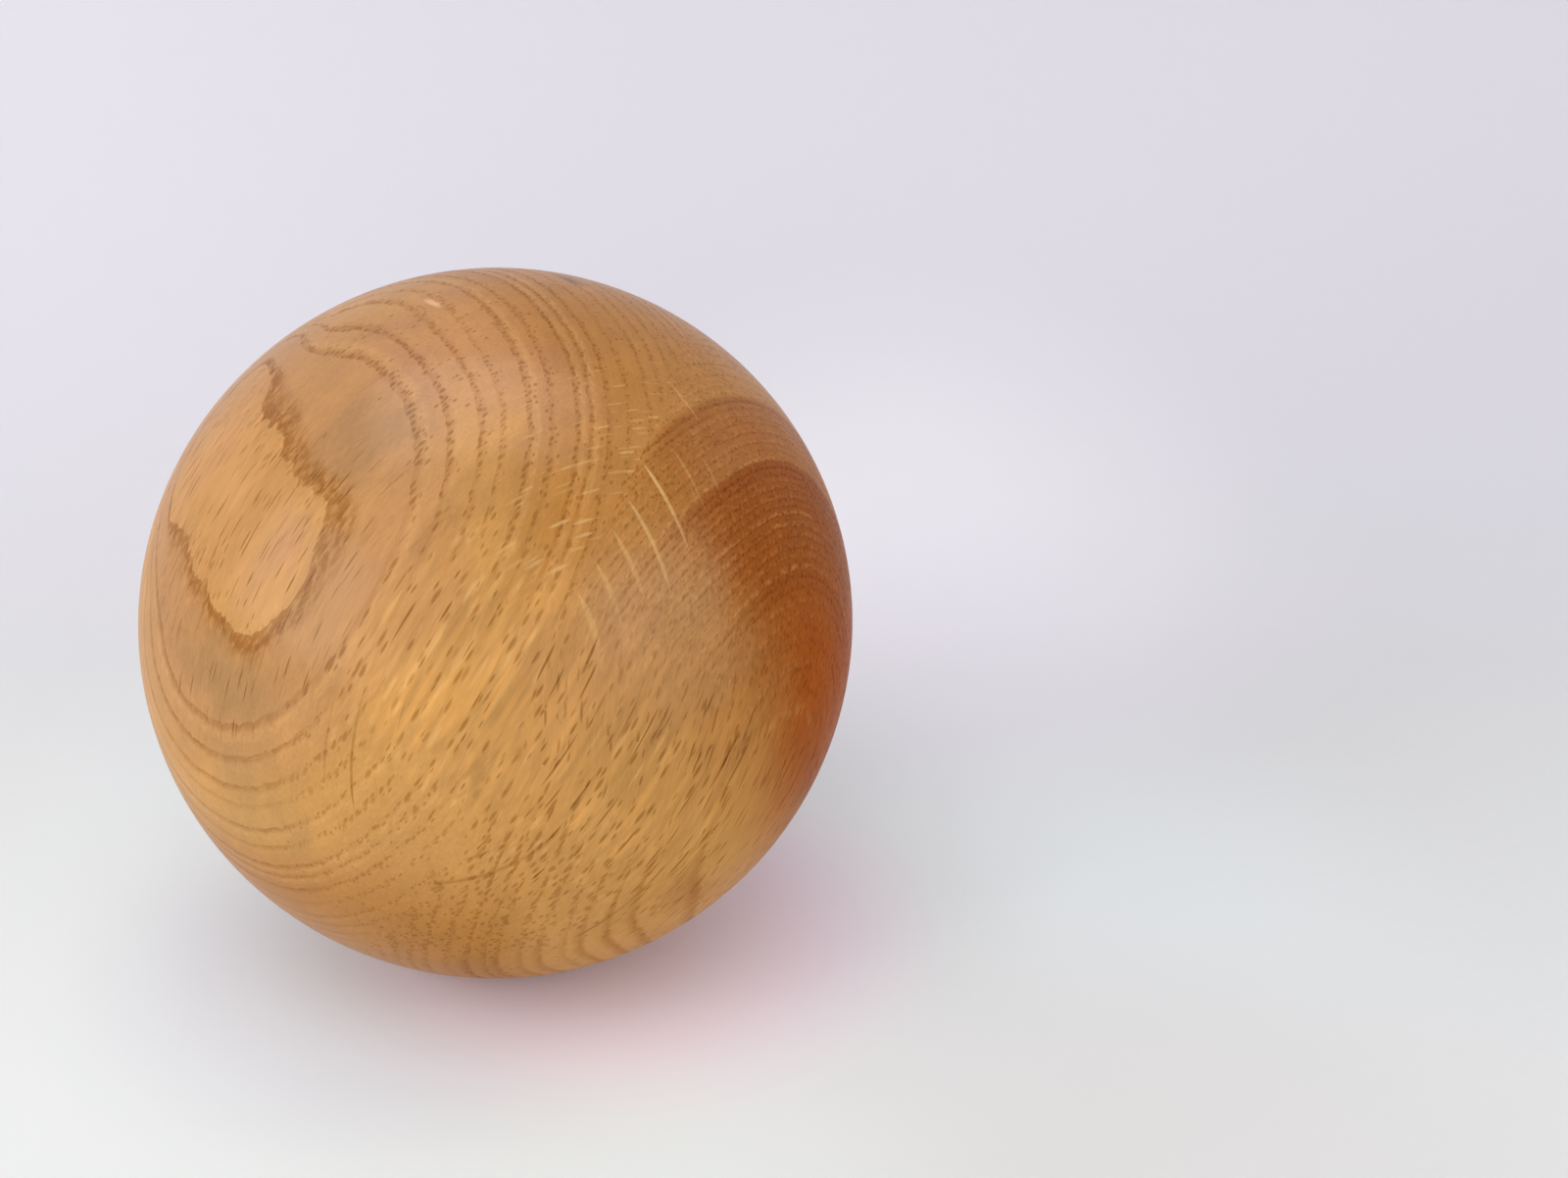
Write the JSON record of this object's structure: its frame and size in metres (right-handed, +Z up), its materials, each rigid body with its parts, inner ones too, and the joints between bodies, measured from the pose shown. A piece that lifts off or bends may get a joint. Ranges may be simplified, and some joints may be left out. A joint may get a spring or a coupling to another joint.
{
  "type": "turned wooden ball",
  "caption": "Solid turned oak ball with a clear satin finish and plain round form.",
  "frame": {"origin": "centre of the ball", "axes": "+Z up through the ball's highest point, +X to the right and +Y away from the front"},
  "size_m": [0.08, 0.08, 0.08],
  "materials": {
    "oak": "clear satin lacquer over sanded oak"
  },
  "bodies": {
    "root": {"ball": "oak"}
  },
  "joints": []
}
